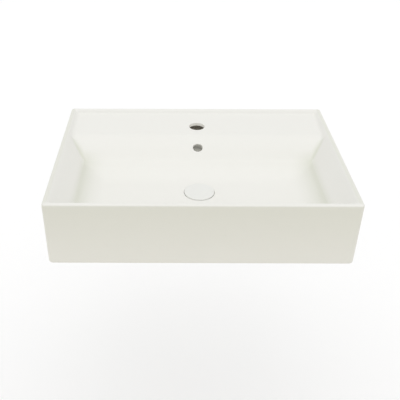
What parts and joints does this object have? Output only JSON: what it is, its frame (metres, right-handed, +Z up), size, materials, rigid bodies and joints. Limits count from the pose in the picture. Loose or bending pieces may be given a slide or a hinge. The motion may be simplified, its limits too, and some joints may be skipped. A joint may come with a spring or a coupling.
{
  "type": "wall hung basin",
  "caption": "Rectangular wall hung ceramic basin with a thin rim, tap ledge with one tap hole, sloped bowl, overflow, click-clack waste with ceramic cover, and wall studs.",
  "frame": {"origin": "middle of the flat back face that lies on the wall, half way up the basin and midway between the wall studs", "axes": "+X to the right along the basin's width, +Y into the wall, +Z up"},
  "size_m": [0.6, 0.482, 0.162],
  "materials": {
    "ceramic": "warm white satin glaze",
    "cover_ceramic": "warm white satin glaze",
    "chrome": "chrome plated brass",
    "brass": "turned brass",
    "rubber": "matt black rubber",
    "plastic": "natural white moulded plastic",
    "spring_steel": "drawn stainless wire",
    "zinc": "bright zinc plated steel"
  },
  "bodies": {
    "basin": {"basin_body": "ceramic", "latch_spring": "spring_steel", "cartridge_body": "plastic", "cartridge_cap": "plastic", "waste_body": "chrome", "flange_gasket": "rubber", "lower_seal": "rubber", "slip_washer": "plastic", "backnut": "chrome", "wall_stud_left": "zinc", "stud_sleeve_left": "plastic", "fixing_washer_left": "zinc", "fixing_nut_left": "zinc", "wall_stud_right": "zinc", "stud_sleeve_right": "plastic", "fixing_washer_right": "zinc", "fixing_nut_right": "zinc"},
    "cover": {"waste_cover": "cover_ceramic", "cover_carrier": "brass", "cover_seal": "rubber", "plunger": "brass"},
    "rotor": {"latch_rotor": "plastic"}
  },
  "joints": [
    {"name": "cover_slide", "type": "slide", "parent": "basin", "child": "cover", "axis": [0, 0, 1], "range_m": [0, 0.008], "deforming": ["latch_spring"]},
    {"name": "rotor_turn", "type": "hinge", "parent": "cover", "child": "rotor", "pos_m": [0, -0.272, -0.0237], "axis": [0, 0, 1], "range_deg": [0, 45]}
  ],
  "couplings": [
    {"joint": "rotor_turn", "follows": "cover_slide", "rad_per_m": 98.1}
  ]
}
